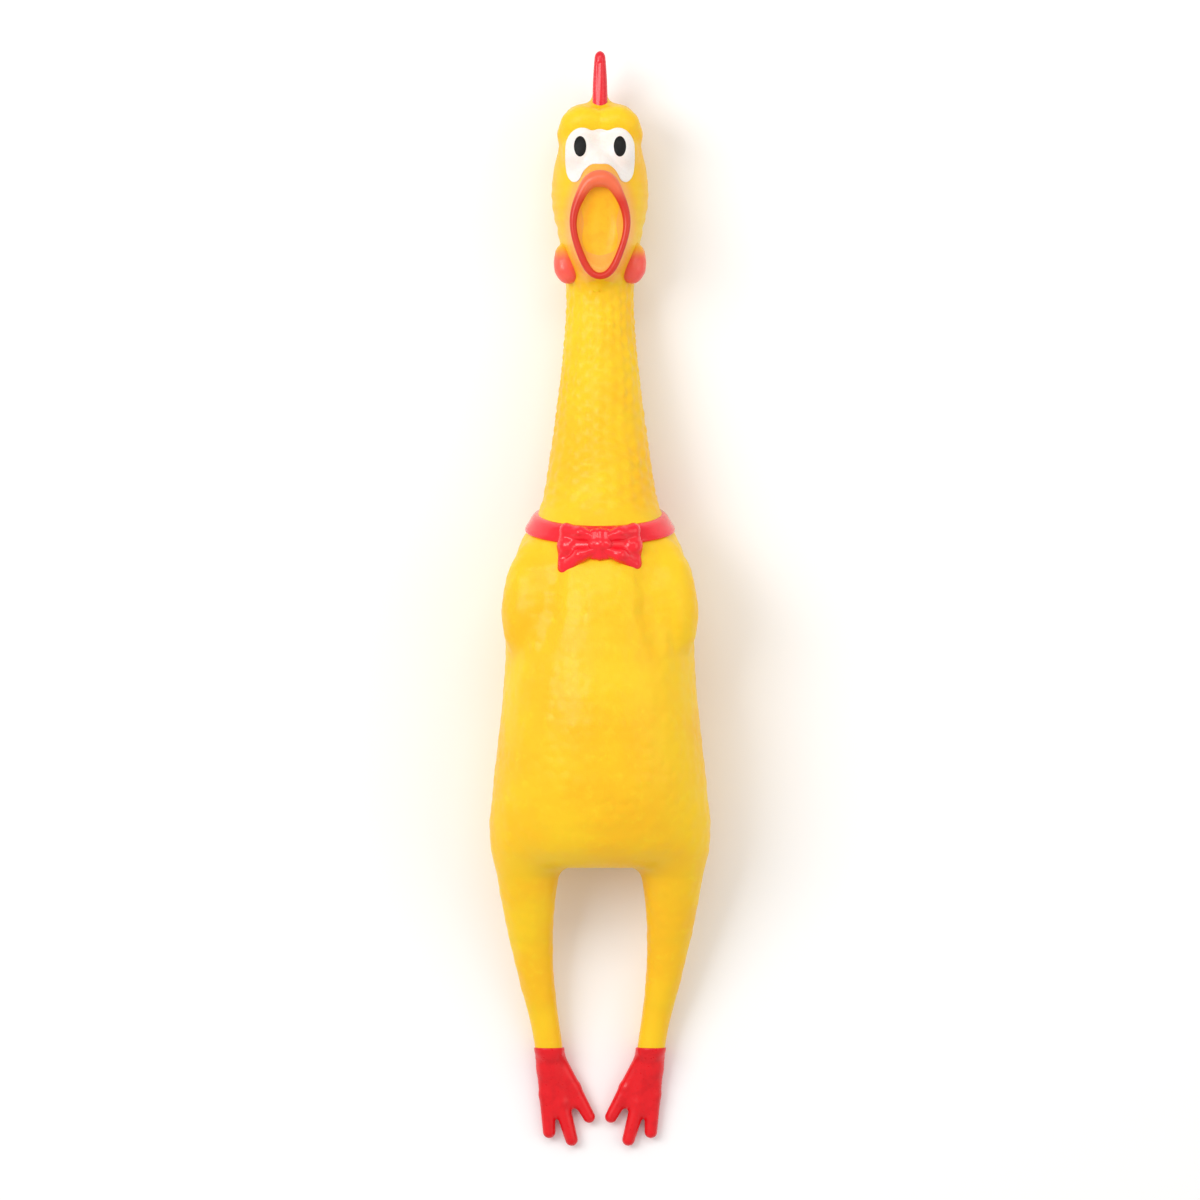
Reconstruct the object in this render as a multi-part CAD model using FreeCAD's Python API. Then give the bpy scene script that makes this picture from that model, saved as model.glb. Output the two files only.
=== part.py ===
"""Squeeze toy in the shape of a plucked chicken: hollow soft vinyl, 400 mm long, lying on its back.

Units are millimetres. +Y runs from the toes to the comb, +Z from the back to the belly, and +X towards
the chicken's own left side. The origin is under the middle of the toy, on the surface it lies on.

The vinyl skin is soft and bends anywhere. Here it is a chain of hollow segments. Each segment starts in
a ball zone that sits inside the rim of the one before it, and leans away from that rim, so that the chain
bends without its solids meeting.
"""

import FreeCAD, Part
import math
import os

Vector = FreeCAD.Vector
X_AXIS = Vector(1, 0, 0)
Y_AXIS = Vector(0, 1, 0)
Z_AXIS = Vector(0, 0, 1)
BIG = 900.0

# Driving dimensions
length = 400.0
ring_steps = 6  # spans in half a ring of a loft
wall = 2.2  # torso, neck and head
thin_wall = 1.8  # legs
rim_wall = 1.5  # the torso's rim, that the neck turns in
gap = 0.4
bend_margin = 3.0  # degrees of room past each joint's limit
spare = 1.0  # how far a cutting body reaches past the face it cuts
ball_lip = 0.6  # how far a ball zone goes on below its pivot, in ball radii

# Torso: height along Y, half width, half depth, centre height
base_y = -97.0
torso_rings = (
    (48.0, 19.4, 19.4, 25.6),
    (38.0, 20.2, 20.2, 26.8),
    (28.0, 21.4, 21.0, 28.0),
    (20.0, 27.0, 24.5, 29.0),
    (8.0, 32.6, 28.5, 30.4),
    (-12.0, 34.6, 31.0, 30.6),
    (-38.0, 35.6, 32.4, 31.8),
    (-62.0, 38.0, 31.6, 31.0),
    (-80.0, 39.2, 28.8, 29.4),
    (-90.0, 39.4, 25.6, 27.6),
    (base_y, 38.8, 22.6, 26.0),
)
base_wall = 3.0

# Neck: centre line, and radius against distance from its foot
neck_foot = Vector(0, 29, 28)
neck_top = Vector(0, 112, 17)
neck_line = (neck_top - neck_foot).normalize()
neck_profile = ((0.0, 21.0), (9.0, 20.2), (28.0, 17.8), (46.0, 15.2), (62.0, 13.4), (77.0, 12.3), (92.0, 12.1))
neck_joint_at = (9.0, 28.0, 46.0, 62.0, 77.0)
neck_bends = ((Z_AXIS, 25.0), (X_AXIS, 30.0), (None, 0.0), (Z_AXIS, 30.0), (X_AXIS, 30.0))

# Head, with rings as for the torso
head_rings = (
    (98.0, 12.1, 12.1, 18.6),
    (108.0, 12.1, 12.2, 17.6),
    (115.0, 12.4, 12.8, 17.4),
    (122.0, 13.3, 15.2, 18.4),
    (132.0, 15.2, 18.6, 19.6),
    (141.0, 17.0, 20.0, 20.4),
    (150.0, 17.6, 20.2, 20.5),
    (158.0, 16.7, 19.6, 20.2),
    (165.0, 15.0, 18.2, 19.8),
    (171.0, 13.0, 15.8, 19.4),
    (176.5, 10.0, 12.0, 19.0),
    (179.5, 6.6, 8.0, 18.8),
)
mouth_centre = Vector(0, 136.6, 0)
head_hollow = (118.0, 176.0)  # heights between which the head is hollow
throat_radius, throat_length = 6.2, 22.0
beak_half = (11.2, 20.4)
mouth_half = (7.8, 16.8)
beak_back, beak_front = 26.0, 46.0
lining_back, lining_front = 36.0, 38.0
lip_round = 1.5
eye_centre = Vector(6.6, 163.0, 33.0)
eye_radius = 8.1
pupil_half = (2.1, 3.0)
pupil_at = Vector(7.2, 163.6, 0)
pupil_lift = 0.5
wattle_centre = Vector(12.8, 120.8, 24.0)
wattle_half = (4.4, 7.6)
wattle_line = Vector(0.12, 1, 0)

# Comb: it turns on a rounded foot, a little above the flat top of the head
comb_pivot = Vector(0, 180.1, 0)
comb_foot_back, comb_foot_front = 7.0, 31.0
comb_base_half = 3.1
comb_tip_half = 1.7
comb_blank = 10.0  # thickness before it is thinned
# The blade's edge from its back to its front: height and depth
comb_edge = (
    (comb_pivot.y - comb_base_half, 10.0),
    (180.5, 8.6),
    (185.5, 10.2),
    (183.6, 12.6),
    (191.5, 14.6),
    (188.4, 18.0),
    (length / 2, 22.2),
    (191.0, 26.4),
    (182.0, 29.0),
    (comb_pivot.y - comb_base_half, 28.0),
)

# Legs, given for the chicken's left one
hip = Vector(26.4, base_y + base_wall / 2, 25.0)
knee = Vector(25.0, -131.0, 15.4)
ankle = Vector(19.4, -162.0, 7.4)
hip_radius, knee_radius, ankle_radius = 11.9, 7.7, 5.4
hip_bend, knee_bend, ankle_bend = 24.0, 30.0, 35.0
foot_low = 0.4
toe_z = 3.9
toe_radius = 2.8
toe_tips = ((18.8, 2.6), (11.4, 0.0), (4.8, 8.6))  # sideways, and how much shorter than the longest toe
toe_root_radius = 4.32
heel_z = 5.5
web_reach = 0.72  # how far the web goes towards the toe tips
web_thick = 3.2
foot_neck_length = 9.0
foot_neck_thin = 0.55  # its start, in ball radii

# Wing, a flat egg that stands off the torso
wing_centre = Vector(26.2, -1.5, 42.5)
wing_radius, wing_half_length = 8.6, 23.0
wing_line = Vector(0.16, -1, -0.08)

# Collar and bow tie
band_centre = Vector(0, 28.8, 28.0)
band_radius = 23.6
band_height = 6.8
band_tilt = 13.0
band_round = 1.2
bow_y = 18.6
knot_size = Vector(7.2, 10.5, 12.0)
knot_corner = Vector(-knot_size.x / 2, bow_y - 4.2, 47.5)
knot_round = 2.0
# Loop sections: distance from the middle, bottom, top, back, front
loop_sections = (
    (3.0, bow_y - 4.0, bow_y + 5.6, 48.0, 58.0),
    (9.48, bow_y - 6.4, bow_y + 6.2, 46.0, 58.4),
    (15.8, bow_y - 8.8, bow_y + 7.6, 44.0, 55.6),
)

# Belly wall that gives under a squeeze
belly_centre = Vector(0, -42, 32)
belly_half = (23.0, 36.0)

# Reed whistle in the flat base
whistle_z = 27.0
cup_radius = 6.5
cup_bore = 5.3
cup_length = 17.0
flange_radius = 8.6
flange_thick = 1.2
flange_y = base_y + 0.2  # the flange's face, just inside the base
sound_hole = 2.0
plate_start, plate_length = 2.4, 13.0
channel_width, channel_depth = 3.0, 3.4
end_land = 3.0  # where the plate is left whole, past the channel
reed_width, reed_length, reed_thick = 4.2, 11.0, 0.25
reed_start = 1.5  # from the plate's start
reed_lift = 0.5  # above the plate
clamp_depth, clamp_thick = 2.6, 1.2
clamp_lift = 1.1  # above the plate
clamp_inset = 0.2  # from the plate's end
clamp_reach = 2.6  # from the middle to the posts
post_width, post_height, post_sink = 1.0, 2.0, 0.2
cap_thick, plug_length = 2.0, 1.6


def radius_at(distance):
    """The neck's outer radius, that far along its centre line."""
    for (d0, r0), (d1, r1) in zip(neck_profile, neck_profile[1:]):
        if d0 <= distance <= d1:
            return r0 + (r1 - r0) * (distance - d0) / (d1 - d0)
    return neck_profile[-1][1]


def neck_point(distance):
    return neck_foot + neck_line * distance


def half_ring(y, half_width, half_depth, centre_z, side):
    """Half an ellipse across the Y axis, from its back round one side to its front."""
    points = []
    for k in range(ring_steps + 1):
        angle = math.pi * k / ring_steps
        points.append(Vector(side * half_width * math.sin(angle), y, centre_z - half_depth * math.cos(angle)))
    curve = Part.BSplineCurve()
    curve.interpolate(Points=points, InitialTangent=X_AXIS * side, FinalTangent=X_AXIS * -side)
    return curve.toShape()


def ring(y, half_width, half_depth, centre_z):
    return Part.Wire([half_ring(y, half_width, half_depth, centre_z, side) for side in (1, -1)])


def loft(rings):
    return Part.makeLoft([ring(*r) for r in rings], True, False)


def shrunk(rings, by):
    return [(y, a - by, b - by, z) for y, a, b, z in rings]


def half_space(point, normal):
    """A box that fills the side of a plane that its normal points away from."""
    box = Part.makeBox(BIG, BIG, BIG, Vector(-BIG / 2, -BIG / 2, -BIG))
    box.Placement = FreeCAD.Placement(point, FreeCAD.Rotation(Z_AXIS, normal))
    return box


def bend_room(body, pivot, rim_normal, axis, bend):
    """Trims what would pass the parent's rim plane when body turns by bend either way about axis."""
    for side in (1, 0, -1):
        turned = FreeCAD.Rotation(axis, side * (bend + bend_margin)).multVec(rim_normal)
        body = body.cut(half_space(pivot + turned * gap, turned))
    return body


def cone(start, end, start_radius, end_radius):
    line = end - start
    return Part.makeCone(start_radius, end_radius, line.Length, start, line)


def ball_end(outer, pivot, line, ball_radius, axis, bend, ball_wall):
    """Gives outer a ball zone at its pivot. Returns the closed form and the hollow to cut from it."""
    trimmed = bend_room(outer, pivot, line, axis, bend)
    ball = Part.makeSphere(ball_radius, pivot)
    ball = ball.cut(half_space(pivot - line * ball_radius * ball_lip, line))
    hollow = Part.makeSphere(ball_radius - ball_wall, pivot)
    return trimmed.fuse(ball), hollow


def meridian(angle, radius, along=0.0):
    """A point on a ball's outline, angle degrees above its equator, as (distance along the axis, radius)."""
    return (along + radius * math.sin(math.radians(angle)), radius * math.cos(math.radians(angle)))


def segment(pivot, end, radius_low, radius_high, open_angle, shell, rim=0.0):
    """A hollow tapered tube from one pivot to the next, turned in one piece about its own line.

    It starts in a ball zone that sits in its parent's rim. Beyond the ball its wall begins on a cone that
    leans open_angle away from that rim, so it can tip by that much. The rim is that far past the pivot.
    """
    line = end - pivot
    span = line.Length
    ball = radius_low - shell - gap
    ball_inside = ball - shell
    socket = radius_high - shell
    lip = -ball_lip * ball
    taper = (radius_high - radius_low) / span
    lean, clear = math.tan(math.radians(open_angle)), (rim + gap) / math.cos(math.radians(open_angle))
    start_radius = (radius_low + taper * clear) / (1 - taper * lean)
    start = (start_radius * lean + clear, start_radius)
    low_angle = math.degrees(math.asin(lip / ball))
    low_angle_inside = math.degrees(math.asin(lip / ball_inside))
    bore_angle, socket_angle = 36, -38
    ball_angle = open_angle + math.degrees(math.asin((rim + gap) / ball))

    def spot(place):
        return Vector(place[1], place[0], 0)

    def straight(p, q):
        return Part.makeLine(spot(p), spot(q))

    def bow(radius, from_angle, to_angle, along=0.0):
        middle = (from_angle + to_angle) / 2
        places = [spot(meridian(angle, radius, along)) for angle in (from_angle, middle, to_angle)]
        return Part.Arc(*places).toShape()

    edges = [
        bow(ball, low_angle, ball_angle),
        straight(meridian(ball_angle, ball), start),
        straight(start, (span, radius_high)),
        straight((span, radius_high), (span, socket)),
        bow(socket, 0, socket_angle, span),
        straight(meridian(socket_angle, socket, span), meridian(bore_angle, ball_inside)),
        bow(ball_inside, bore_angle, low_angle_inside),
        straight(meridian(low_angle_inside, ball_inside), meridian(low_angle, ball)),
    ]
    face = Part.Face(Part.Wire(edges))
    body = face.revolve(Vector(0, 0, 0), Y_AXIS, 360)
    body.Placement = FreeCAD.Placement(pivot, FreeCAD.Rotation(Y_AXIS, line))
    return body


def prism(outline, low, high):
    """A closed wire in the XY plane, pushed up from low to high along Z."""
    face = Part.Face(outline)
    face.translate(Vector(0, 0, low))
    return face.extrude(Vector(0, 0, high - low))


def ellipse_outline(centre, half_x, half_y):
    long_axis = Y_AXIS if half_y > half_x else X_AXIS
    major, minor = max(half_x, half_y), min(half_x, half_y)
    flat_centre = Vector(centre.x, centre.y, 0)
    curve = Part.Ellipse(
        flat_centre + long_axis * major,
        flat_centre + Z_AXIS.cross(long_axis) * minor,
        flat_centre,
    )
    return Part.Wire([curve.toShape()])


def spheroid(centre, radius, half_length, line):
    """An ellipsoid of revolution about line."""
    profile = Part.Ellipse(Vector(0, 0, 0), max(radius, half_length), min(radius, half_length))
    if half_length > radius:
        profile.rotate(FreeCAD.Placement(Vector(0, 0, 0), FreeCAD.Rotation(Z_AXIS, 90)))
    disc = Part.Face(Part.Wire([profile.toShape()]))
    right_half = disc.common(Part.makeBox(BIG, BIG, 1, Vector(0, -BIG / 2, -0.5)))
    body = right_half.revolve(Vector(0, 0, 0), Y_AXIS, 360)
    body = Part.Solid(body.Shells[0]) if body.ShapeType != "Solid" else body
    body.Placement = FreeCAD.Placement(centre, FreeCAD.Rotation(Y_AXIS, line))
    return body


def mirrored(shape):
    """The same piece on the chicken's right side."""
    return shape.mirror(Vector(0, 0, 0), X_AXIS)


def torso_outer():
    full = loft(torso_rings)
    full = full.cut(half_space(neck_point(neck_joint_at[0]), -neck_line))
    return full.cut(half_space(Vector(0, 0, 0), Z_AXIS))


def torso_hollow():
    """The space inside the torso. Its wall is thinner in the neck's rim, where a ball zone turns."""
    rings = shrunk(torso_rings[:2], rim_wall) + shrunk(torso_rings[2:-1], wall)
    y, a, b, z = torso_rings[-1]
    rings.append((y + base_wall, a - wall, b - wall, z))
    return loft(rings)


def belly_prism(grow):
    """The column that cuts the belly's window out of the front wall."""
    outline = ellipse_outline(belly_centre, belly_half[0] + grow, belly_half[1] + grow)
    return prism(outline, belly_centre.z, BIG / 2)


def torso_parts():
    """The torso shell, and the part of its front wall that moves in when squeezed."""
    shell = torso_outer().cut(torso_hollow())
    leg_hole = Part.makeCylinder(hip_radius - thin_wall, 2 * base_wall, hip - Y_AXIS * base_wall, Y_AXIS)
    under_base = Vector(0, base_y - spare, whistle_z)
    whistle_hole = Part.makeCylinder(cup_radius, 3 * base_wall, under_base, Y_AXIS)
    recess_depth = flange_y + flange_thick - base_y
    flange_recess = Part.makeCylinder(flange_radius, spare + recess_depth, under_base, Y_AXIS)
    belly_wall = shell.common(belly_prism(0))
    shell = shell.cut(belly_prism(gap))
    for opening in (leg_hole, mirrored(leg_hole), whistle_hole, flange_recess):
        shell = shell.cut(opening)
    return {"torso_shell": shell, "belly_wall": belly_wall}


def wing():
    return spheroid(wing_centre, wing_radius, wing_half_length, wing_line).cut(torso_outer())


def collar_line():
    tilt = math.radians(band_tilt)
    return Vector(0, math.cos(tilt), math.sin(tilt))


def collar_band():
    line = collar_line()
    ring_body = Part.makeCylinder(band_radius, band_height, band_centre - line * band_height / 2, line)
    ring_body = ring_body.makeFillet(band_round, ring_body.Edges)
    neck_end = half_space(neck_point(neck_joint_at[0]) - neck_line * gap, -neck_line)
    return ring_body.cut(torso_outer()).cut(neck_end)


def block(x, y_low, y_high, z_low, z_high):
    """A rectangle across the X axis."""
    corners = ((y_low, z_low), (y_high, z_low), (y_high, z_high), (y_low, z_high), (y_low, z_low))
    return Part.makePolygon([Vector(x, y, z) for y, z in corners])


def bow_parts():
    """The knot, and one loop on each side of it."""
    knot = Part.makeBox(knot_size.x, knot_size.y, knot_size.z, knot_corner)
    knot = knot.makeFillet(knot_round, knot.Edges)
    loop = Part.makeLoft([block(*section) for section in loop_sections], True, True)
    under = torso_outer().fuse(collar_band())
    knot = knot.cut(under)
    loop = loop.cut(under).cut(knot)
    return {"bow_knot": knot, "bow_left_loop": loop, "bow_right_loop": mirrored(loop)}


def neck_parts():
    """The four neck segments, from the collar up."""
    names = ("neck_root_shell", "neck_lower_shell", "neck_middle_shell", "neck_upper_shell")
    parts = {}
    for k, name in enumerate(names):
        start, end = neck_joint_at[k], neck_joint_at[k + 1]
        open_angle = neck_bends[k][1] + bend_margin
        parts[name] = segment(
            neck_point(start), neck_point(end), radius_at(start), radius_at(end), open_angle, wall
        )
    return parts


def comb_groove(grow):
    """The rounded foot that the comb turns on, along the top of the head."""
    start = comb_pivot + Z_AXIS * comb_foot_back
    return Part.makeCylinder(comb_base_half + grow, comb_foot_front - comb_foot_back, start, Z_AXIS)


def head_solid():
    return loft(head_rings)


def beak_prism(low, high):
    return prism(ellipse_outline(mouth_centre, *beak_half), low, high)


def head_shell():
    pivot = neck_point(neck_joint_at[-1])
    axis, bend = neck_bends[-1]
    ball_radius = radius_at(neck_joint_at[-1]) - wall - gap
    closed, ball_hollow = ball_end(head_solid(), pivot, neck_line, ball_radius, axis, bend, wall)
    cavity = loft([r for r in shrunk(head_rings, wall) if head_hollow[0] < r[0] < head_hollow[1]])
    throat = Part.makeCylinder(throat_radius, throat_length, pivot, neck_line)
    body = closed.cut(ball_hollow).cut(throat).cut(cavity)
    body = body.cut(beak_prism(beak_back, beak_front))
    return body.cut(comb_groove(gap))


def comb_side(y):
    """The point on the comb's thinning side at that height."""
    along = (y - comb_pivot.y) / (length / 2 + spare - comb_pivot.y)
    return Vector(comb_base_half + (comb_tip_half - comb_base_half) * along, y, 0)


def comb():
    """A flat blade with three lobes: its side outline, thinned towards the tip."""
    points = [Vector(0, y, z) for y, z in comb_edge]
    outline = Part.BSplineCurve()
    outline.interpolate(points)
    base_edge = Part.makeLine(points[-1], points[0])
    side = Part.Face(Part.Wire([outline.toShape(), base_edge]))
    side.translate(X_AXIS * -comb_blank / 2)
    blade = side.extrude(X_AXIS * comb_blank)
    corners = [comb_side(comb_pivot.y), comb_side(length / 2 + spare)]
    corners += [Vector(-p.x, p.y, 0) for p in reversed(corners)]
    taper = Part.makePolygon(corners + corners[:1])
    body = blade.common(prism(taper, 0, BIG / 2).fuse(comb_groove(0)))
    return body.cut(half_space(Vector(0, length / 2, 0), -Y_AXIS))


def beak_parts():
    """The lips, a tall oval ring, and the dish that closes the mouth behind them."""
    tube = beak_prism(beak_back, beak_front)
    tube = tube.cut(prism(ellipse_outline(mouth_centre, *mouth_half), beak_back - spare, beak_front + spare))
    front_edges = [edge for edge in tube.Edges if edge.BoundBox.ZMin > beak_front - spare]
    tube = tube.makeFillet(lip_round, front_edges)
    lining = prism(ellipse_outline(mouth_centre, *mouth_half), lining_back, lining_front)
    return {"beak_rim": tube, "mouth_lining": lining}


def eye_parts():
    bulge = Part.makeSphere(eye_radius, eye_centre)
    own_side = Part.makeBox(BIG, BIG, BIG, Vector(0, -BIG / 2, -BIG / 2))
    eye = bulge.common(own_side).cut(head_solid()).cut(beak_prism(0, beak_front))
    shell = Part.makeSphere(eye_radius + pupil_lift, eye_centre).cut(bulge)
    spot = prism(ellipse_outline(pupil_at, *pupil_half), eye_centre.z, BIG / 2)
    return eye, shell.common(spot)


def wattle():
    body = spheroid(wattle_centre, wattle_half[0], wattle_half[1], wattle_line)
    return body.cut(head_solid()).cut(beak_prism(beak_back, beak_front))


def tip_angle(rim_normal, line, axis, bend):
    """The most that line leans from its parent's rim normal, when it turns by bend either way about axis."""
    turned = [FreeCAD.Rotation(axis, side * bend).multVec(line) for side in (1, -1)]
    return max(math.degrees(rim_normal.getAngle(way)) for way in turned)


def thigh():
    open_angle = tip_angle(-Y_AXIS, knee - hip, Z_AXIS, hip_bend) + bend_margin
    return segment(hip, knee, hip_radius, knee_radius, open_angle, thin_wall, base_wall / 2)


def shank():
    open_angle = tip_angle(knee - hip, ankle - knee, X_AXIS, knee_bend) + bend_margin
    return segment(knee, ankle, knee_radius, ankle_radius, open_angle, thin_wall)


def foot():
    """Three toes that fan out from the ankle, with a web between them."""
    rim_normal = (ankle - knee).normalize()
    tips = [Vector(x, toe_radius - length / 2 + short, toe_z) for x, short in toe_tips]
    heel = Vector(ankle.x, ankle.y, heel_z)
    body = Part.makeSphere(ankle_radius, heel)
    for tip in tips:
        body = body.fuse(cone(heel, tip, toe_root_radius, toe_radius))
        body = body.fuse(Part.makeSphere(toe_radius, tip))
    web = [heel] + [heel + (tip - heel) * web_reach for tip in tips] + [heel]
    sheet = Part.Face(Part.makePolygon([Vector(p.x, p.y, toe_z - web_thick / 2) for p in web]))
    body = body.fuse(sheet.extrude(Z_AXIS * web_thick))
    body = body.cut(half_space(Vector(0, 0, foot_low), Z_AXIS))
    body = bend_room(body, ankle, rim_normal, X_AXIS, ankle_bend)
    ball_radius = ankle_radius - thin_wall - gap
    ball = Part.makeSphere(ball_radius, ankle)
    neck = cone(ankle, heel - Y_AXIS * foot_neck_length, ball_radius * foot_neck_thin, ball_radius)
    return body.fuse(ball).fuse(neck)


def along_whistle(radius, start, span):
    """A cylinder on the whistle's axis, from start to start + span behind the flange's face."""
    return Part.makeCylinder(radius, span, Vector(0, flange_y + start, whistle_z), Y_AXIS)


def whistle_box(half_width, start, span, low, thick):
    """A box on the whistle's middle, that far behind the flange's face and that far above the plate."""
    corner = Vector(-half_width, flange_y + start, whistle_z + low)
    return Part.makeBox(2 * half_width, span, thick, corner)


def whistle_cup():
    body = along_whistle(cup_radius, flange_thick, cup_length)
    body = body.fuse(along_whistle(flange_radius, 0, flange_thick))
    body = body.cut(along_whistle(cup_bore, 2 * flange_thick, cup_length))
    return body.cut(along_whistle(sound_hole, -spare, cup_length))


def reed_plate():
    """Half a plug with a channel under the reed, and a bridge that holds the reed's end down."""
    body = along_whistle(cup_bore, plate_start, plate_length)
    body = body.cut(half_space(Vector(0, 0, whistle_z), -Z_AXIS))
    channel_length = plate_length - end_land
    channel = whistle_box(channel_width / 2, plate_start, channel_length, -channel_depth, channel_depth)
    body = body.cut(channel)
    clamp_start = plate_start + plate_length - clamp_depth - clamp_inset
    bridge = whistle_box(clamp_reach + post_width, clamp_start, clamp_depth, clamp_lift, clamp_thick)
    posts = whistle_box(clamp_reach + post_width, clamp_start, clamp_depth, -post_sink, post_height)
    between = whistle_box(clamp_reach, clamp_start - spare, clamp_depth + 2 * spare, 0, post_height)
    return body.fuse(bridge).fuse(posts.cut(between))


def whistle_parts():
    """Cup with a flange in the base, a plate across it, the reed on the plate, and a cap at the inner end."""
    reed = whistle_box(reed_width / 2, plate_start + reed_start, reed_length, reed_lift, reed_thick)
    cap_start = flange_thick + cup_length
    cap = along_whistle(cup_radius, cap_start, cap_thick)
    cap = cap.fuse(along_whistle(cup_bore, cap_start - plug_length, plug_length))
    cap = cap.cut(along_whistle(sound_hole, cap_start - 2 * plug_length, 2 * plug_length + 2 * cap_thick))
    return {
        "whistle_cup": whistle_cup(),
        "whistle_reed_plate": reed_plate(),
        "whistle_reed": reed,
        "whistle_cap": cap,
    }


def all_parts():
    parts = torso_parts()
    parts.update(neck_parts())
    parts.update(bow_parts())
    parts.update(beak_parts())
    parts.update(whistle_parts())
    parts["collar_band"] = collar_band()
    parts["head_shell"] = head_shell()
    parts["comb"] = comb()
    eye, pupil = eye_parts()
    for name, shape in (
        ("wing", wing()),
        ("eye", eye),
        ("pupil", pupil),
        ("wattle", wattle()),
        ("thigh_shell", thigh()),
        ("shank_shell", shank()),
        ("foot", foot()),
    ):
        parts["left_" + name] = shape
        parts["right_" + name] = mirrored(shape)
    return parts


os.makedirs("parts", exist_ok=True)
for name, shape in all_parts().items():
    solids = sorted(shape.Solids, key=lambda s: -s.Volume)
    print(f"{name:20s} solids {len(solids)}  volume {shape.Volume / 1000:8.3f} cm3  valid {shape.isValid()}")
    body = solids[0] if len(solids) == 1 else Part.makeCompound(solids)
    body.exportStep(f"parts/{name}.step")
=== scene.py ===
"""Looks of the squeeze chicken: one smooth vinyl skin over the hollow CAD segments, painted details on top.

Shapes are worked out in millimetres, in the row frame, as distance fields that are blended together. The
skin is meshed once and cut where the CAD bodies meet.
"""

import math

import bmesh
import bpy
import numpy as np
import openvdb
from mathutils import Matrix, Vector


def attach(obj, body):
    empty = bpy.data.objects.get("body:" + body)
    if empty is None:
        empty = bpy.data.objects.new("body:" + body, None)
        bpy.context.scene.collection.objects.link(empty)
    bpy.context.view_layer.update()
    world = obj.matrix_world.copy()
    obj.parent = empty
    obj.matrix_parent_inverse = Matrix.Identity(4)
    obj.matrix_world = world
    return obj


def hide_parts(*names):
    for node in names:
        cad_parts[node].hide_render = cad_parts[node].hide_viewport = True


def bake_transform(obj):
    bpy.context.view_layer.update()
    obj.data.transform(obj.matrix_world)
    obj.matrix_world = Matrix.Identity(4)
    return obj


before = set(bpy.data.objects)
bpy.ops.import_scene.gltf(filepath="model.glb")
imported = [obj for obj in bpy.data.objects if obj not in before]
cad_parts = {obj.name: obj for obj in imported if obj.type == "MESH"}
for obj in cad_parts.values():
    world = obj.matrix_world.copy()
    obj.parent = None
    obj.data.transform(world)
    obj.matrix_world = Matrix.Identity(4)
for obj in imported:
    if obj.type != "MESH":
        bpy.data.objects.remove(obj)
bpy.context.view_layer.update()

MM = 0.001
FINE = 0.62  # mesh step of the skin, in mm

# Neck centre line and where its joints sit along it
NECK_FOOT = np.array((0.0, 29.0, 28.0))
NECK_TOP = np.array((0.0, 112.0, 17.0))
NECK_LINE = (NECK_TOP - NECK_FOOT) / np.linalg.norm(NECK_TOP - NECK_FOOT)
NECK_SEAMS = (0.0, 18.5, 37.0, 54.0, 69.5, 85.0)

BASE_Y = -97.0
# Y: half width, half depth, centre height
PROFILE = (
    (-110, 37.0, 18.0, 23.0),
    (-97, 37.8, 22.4, 25.4),
    (-88, 38.6, 26.4, 28.0),
    (-79, 38.9, 29.2, 29.6),
    (-68, 38.8, 31.2, 30.8),
    (-56, 37.4, 32.2, 31.4),
    (-45, 36.2, 32.8, 31.8),
    (-33, 34.9, 32.6, 31.6),
    (-22, 34.2, 31.9, 31.0),
    (-10, 34.0, 31.1, 30.6),
    (1, 33.2, 30.2, 30.4),
    (12, 31.6, 28.0, 30.0),
    (18, 30.0, 25.8, 29.4),
    (24, 27.2, 23.4, 28.6),
    (29, 23.8, 21.8, 28.0),
    (34, 21.2, 20.6, 27.3),
    (41, 19.8, 19.8, 26.4),
    (52, 18.2, 18.2, 25.0),
    (64, 16.4, 16.4, 23.4),
    (75, 15.0, 15.0, 21.9),
    (87, 13.6, 13.6, 20.3),
    (98, 12.6, 12.6, 18.9),
    (108, 12.1, 12.2, 17.7),
    (115, 12.3, 12.9, 17.5),
    (122, 12.7, 15.2, 18.4),
    (130, 13.6, 18.3, 19.5),
    (137, 15.0, 19.8, 20.2),
    (143, 16.3, 20.3, 20.5),
    (150, 17.3, 20.4, 20.6),
    (156, 17.1, 19.8, 20.3),
    (162, 15.6, 18.6, 19.9),
    (167, 14.2, 17.0, 19.6),
    (172, 12.0, 14.4, 19.2),
    (176, 9.4, 11.0, 19.0),
    (179, 6.2, 7.0, 18.8),
    (181, 2.5, 3.0, 18.8),
)
# One leg: Y: x, centre height, radius
LEG = (
    (-180.0, 18.4, 7.0, 5.0),
    (-164.0, 18.5, 7.4, 5.0),
    (-153.0, 20.4, 9.4, 5.2),
    (-142.0, 22.6, 12.2, 6.0),
    (-131.0, 24.3, 15.2, 7.0),
    (-119.0, 25.6, 19.0, 8.4),
    (-108.0, 26.2, 23.0, 9.9),
    (-97.0, 26.2, 27.0, 11.7),
    (-86.0, 25.2, 30.0, 13.5),
    (-70.0, 23.0, 33.0, 15.7),
)
LEG_TOP = (-72.0, 12.0)  # where the leg has sunk into the body, and how roundly it ends there
MOUTH = (0.0, 136.2)
LIP_HALF = (9.7, 17.6)
LIP_DROP = 1.5  # how much further the mouth's outline reaches down than up
LIP_PINCH = 0.1  # how much narrower than an ellipse it is, halfway up and down
LIP_Z = 44.2
EYE = (6.6, 163.0, 31.0)
EYE_HALF = (7.3, 8.8, 9.2)
PUPIL = (7.2, 164.2)
PUPIL_HALF = (2.3, 3.8)
COLLAR_Y, COLLAR_Z, COLLAR_TILT = 28.8, 28.0, math.radians(13.0)
BOW_SQUEEZE = 1.06  # how much narrower the bow is than its table of bars
BOW_LIFT = 1.5  # how much higher it sits than its table says
RED_FROM_Y = -163.5
WHISTLE_Z = 27.0


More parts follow.
